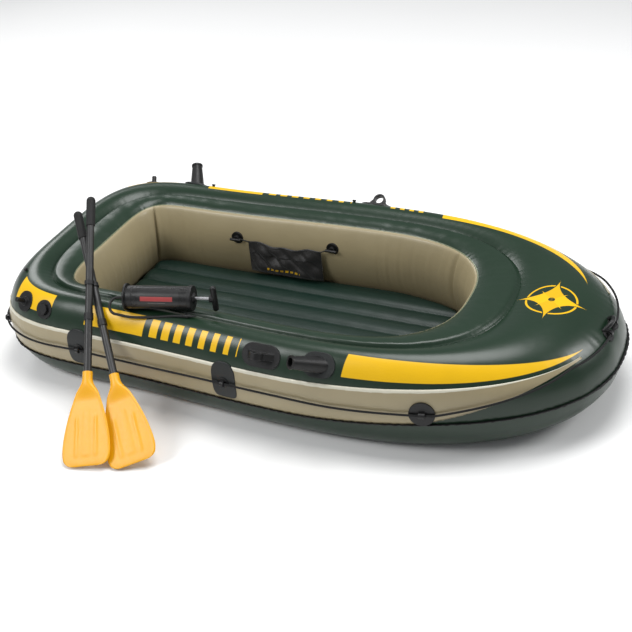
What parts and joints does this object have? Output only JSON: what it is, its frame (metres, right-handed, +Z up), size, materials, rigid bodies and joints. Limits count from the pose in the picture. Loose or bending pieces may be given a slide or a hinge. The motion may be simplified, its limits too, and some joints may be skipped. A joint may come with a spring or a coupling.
{
  "type": "inflatable boat",
  "caption": "Blow-up boat for two with ring tubes, padded floor, grab rope, oarlocks, rod holders, pouch, crossed oars and a hand pump.",
  "frame": {"origin": "on the ground under the bottom sheet, halfway along the hull and on its centre line", "axes": "+X towards the bow, +Y towards the port side, +Z up"},
  "size_m": [2.3924, 1.5684, 0.6626],
  "materials": {
    "green_pvc": "smooth dark green PVC film with a soft sheen and fine welded creases",
    "floor_pvc": "darker green PVC film, softly shiny",
    "beige_pvc": "beige PVC film, satin, with pale weld lines",
    "seam_pvc": "black welded edge strip, finely scalloped",
    "patch_pvc": "charcoal reinforced PVC patch with a fine weave",
    "rope": "black braided cord",
    "pouch_cloth": "charcoal coated cloth with stitched hems",
    "label": "plain red label film, no lettering",
    "pump_steel": "drawn steel rod",
    "hose_rubber": "black ribbed rubber hose",
    "pump_plastic": "dark moulded plastic with a low sheen",
    "valve_plastic": "grey moulded plastic",
    "blade_plastic": "yellow-orange moulded plastic, satin",
    "shaft_plastic": "black extruded tube",
    "soft_black": "soft black moulded grip",
    "black_plastic": "black moulded plastic",
    "fitting_rubber": "black moulded soft vinyl"
  },
  "bodies": {
    "hull": {"outer_chamber": "green_pvc", "side_panel": "beige_pvc", "inner_chamber": "green_pvc", "inner_wall_panel": "beige_pvc", "weld_flange": "seam_pvc", "bottom_sheet": "floor_pvc", "floor_mat": "floor_pvc", "grab_rope": "rope", "rope_patches": "patch_pvc", "rope_eyes": "fitting_rubber", "rope_discs": "fitting_rubber", "bow_fitting": "fitting_rubber", "bow_handle": "fitting_rubber", "oarlock_starboard": "fitting_rubber", "oarlock_port": "fitting_rubber", "rod_holder_starboard": "fitting_rubber", "rod_holder_port": "fitting_rubber", "rod_holder_pads": "patch_pvc", "motor_fitting_starboard": "fitting_rubber", "motor_fitting_port": "fitting_rubber", "deck_studs": "fitting_rubber", "valve_base": "fitting_rubber", "valve_insert": "valve_plastic", "wall_discs": "fitting_rubber", "wall_toggles": "fitting_rubber", "pouch": "pouch_cloth", "pouch_cords": "rope"},
    "valve_cap": {"valve_cap": "fitting_rubber"},
    "oar_a": {"oar_a_blade": "blade_plastic", "oar_a_lower_shaft": "shaft_plastic", "oar_a_collar": "black_plastic"},
    "oar_a_upper": {"oar_a_upper_shaft": "shaft_plastic", "oar_a_grip": "soft_black", "oar_tie_ring": "soft_black"},
    "oar_b": {"oar_b_blade": "blade_plastic", "oar_b_lower_shaft": "shaft_plastic", "oar_b_collar": "black_plastic"},
    "oar_b_upper": {"oar_b_upper_shaft": "shaft_plastic", "oar_b_grip": "soft_black"},
    "pump": {"pump_barrel": "pump_plastic", "pump_base": "black_plastic", "pump_cap": "black_plastic", "pump_label": "label", "pump_port": "black_plastic", "pump_hose": "hose_rubber", "pump_nozzle": "black_plastic"},
    "pump_rod": {"pump_rod": "pump_steel", "pump_piston": "valve_plastic", "pump_handle": "black_plastic"}
  },
  "joints": [
    {"name": "valve_cap_turn", "type": "hinge", "parent": "hull", "child": "valve_cap", "pos_m": [-0.87206, -0.50963, 0.32535], "axis": [-0.0932, -0.8337, 0.5442], "range_deg": [0, 360]},
    {"name": "oar_pair_lift", "type": "slide", "parent": "hull", "child": "oar_a", "axis": [0, 0, 1], "range_m": [0, 0.3]},
    {"name": "oar_a_pull_apart", "type": "slide", "parent": "oar_a", "child": "oar_a_upper", "axis": [-0.5282, 0.6411, 0.5567], "range_m": [0, 0.09]},
    {"name": "oar_b_slide_in_clip", "type": "slide", "parent": "oar_a_upper", "child": "oar_b", "axis": [-0.3042, 0.7177, 0.6264], "range_m": [0, 0.07]},
    {"name": "oar_b_pull_apart", "type": "slide", "parent": "oar_b", "child": "oar_b_upper", "axis": [-0.3042, 0.7177, 0.6264], "range_m": [0, 0.09]},
    {"name": "pump_lift", "type": "slide", "parent": "hull", "child": "pump", "axis": [0, 0, 1], "range_m": [0, 0.3]},
    {"name": "pump_rod_pull", "type": "slide", "parent": "pump", "child": "pump_rod", "axis": [0.9703, 0.2419, 0], "range_m": [0, 0.15]}
  ]
}
